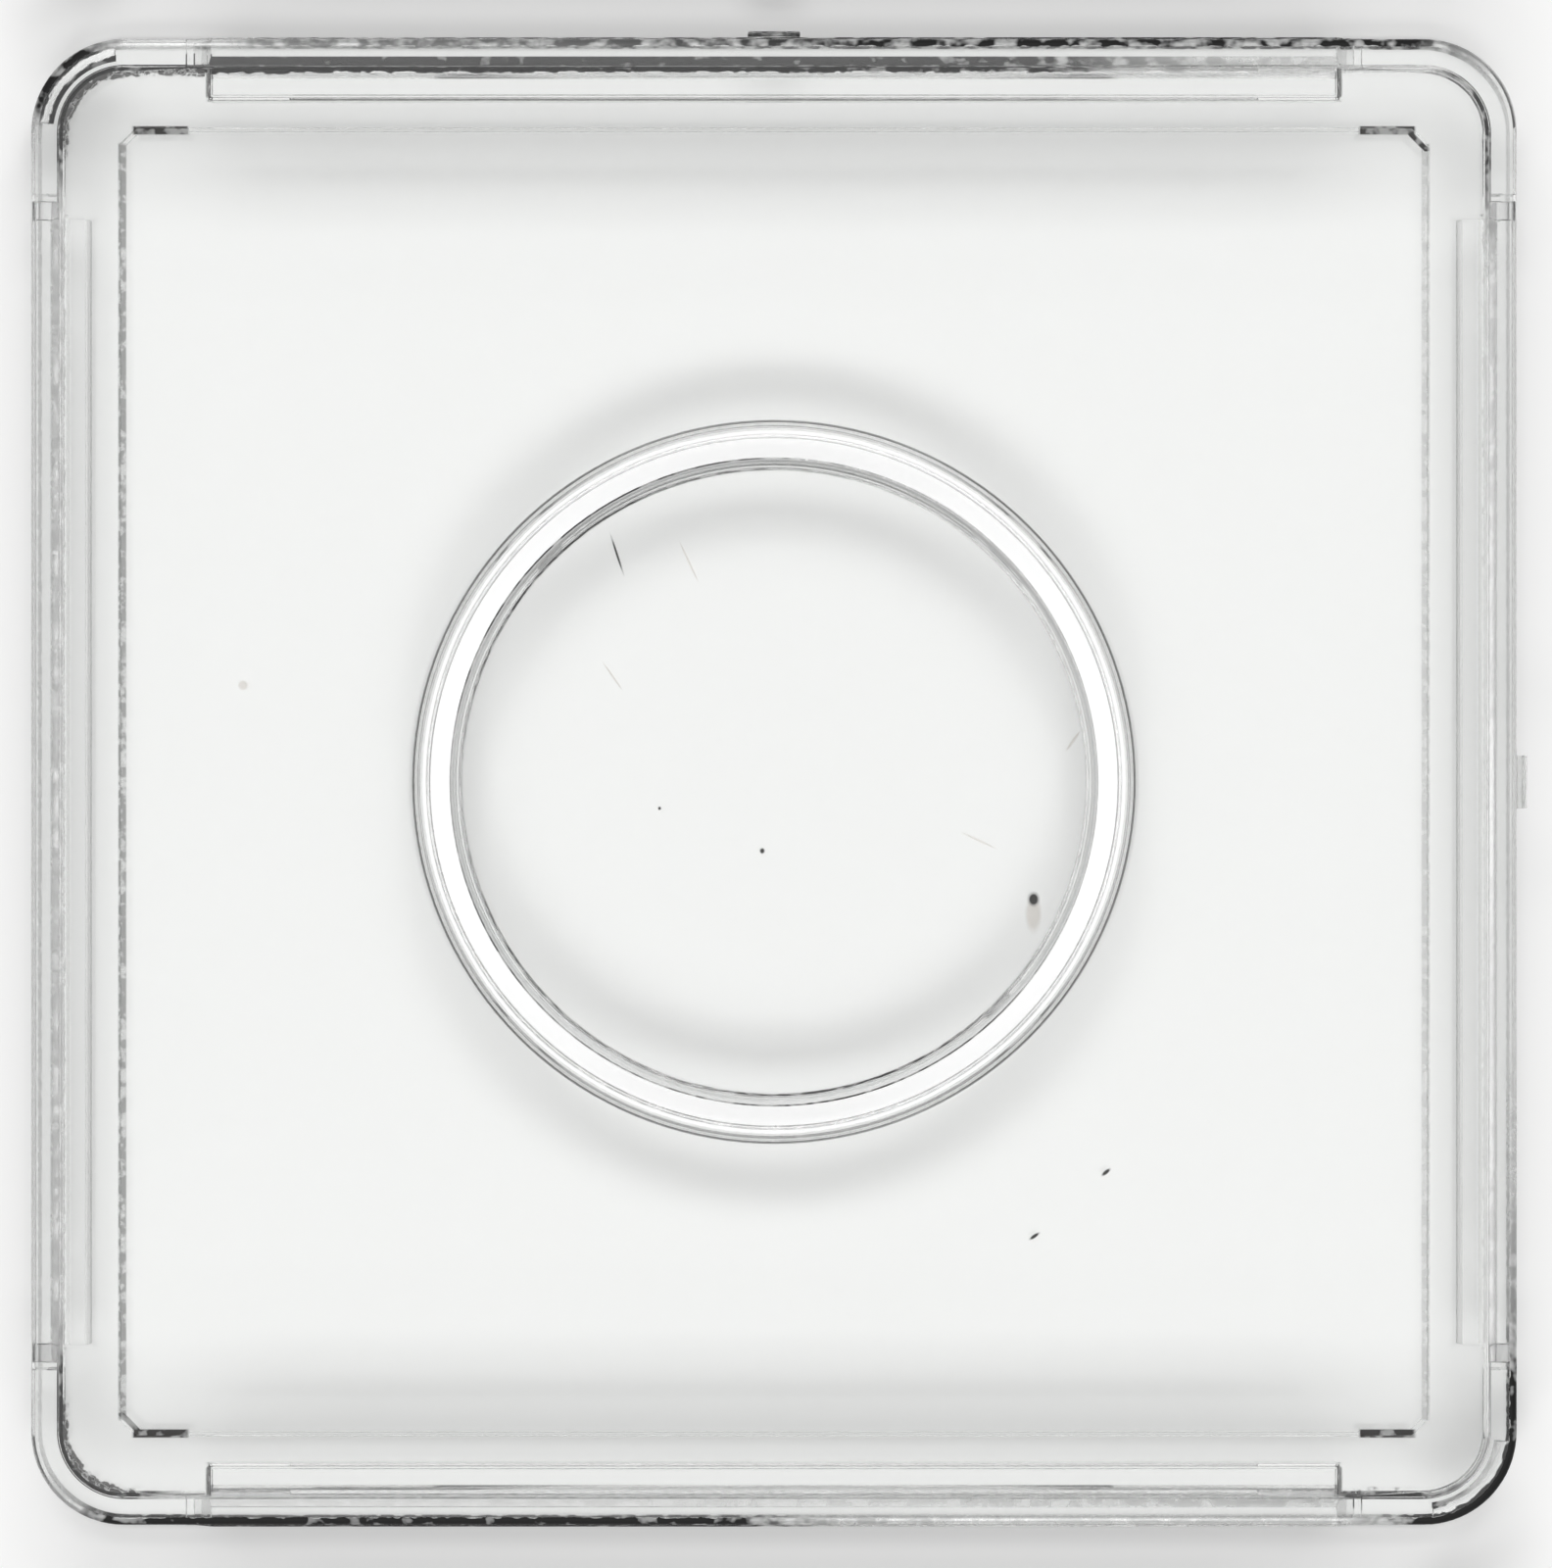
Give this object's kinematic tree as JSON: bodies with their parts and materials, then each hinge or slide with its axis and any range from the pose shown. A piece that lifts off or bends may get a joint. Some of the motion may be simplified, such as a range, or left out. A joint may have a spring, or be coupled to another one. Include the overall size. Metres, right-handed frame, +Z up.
{
  "type": "snap-lock coin holder",
  "caption": "Square clear plastic coin holder: identical halves snap together face to face and keep a coin in a round pocket seen through both flat windows.",
  "frame": {"origin": "on the surface that the closed holder lies on, under the middle of its square outline", "axes": "+Z up through the windows, from the lower half to the upper half; +X and +Y square to the sides, with the lower half's gate stub on +Y and the upper half's on +X"},
  "size_m": [0.0511, 0.0511, 0.0063],
  "materials": {
    "clear_polystyrene": "gloss"
  },
  "bodies": {
    "lower_body": {"lower_half": "clear_polystyrene"},
    "upper_body": {"upper_half": "clear_polystyrene"}
  },
  "joints": [
    {"name": "cover_lift", "type": "slide", "parent": "lower_body", "child": "upper_body", "axis": [0, 0, 1], "range_m": [0, 0.03]}
  ]
}
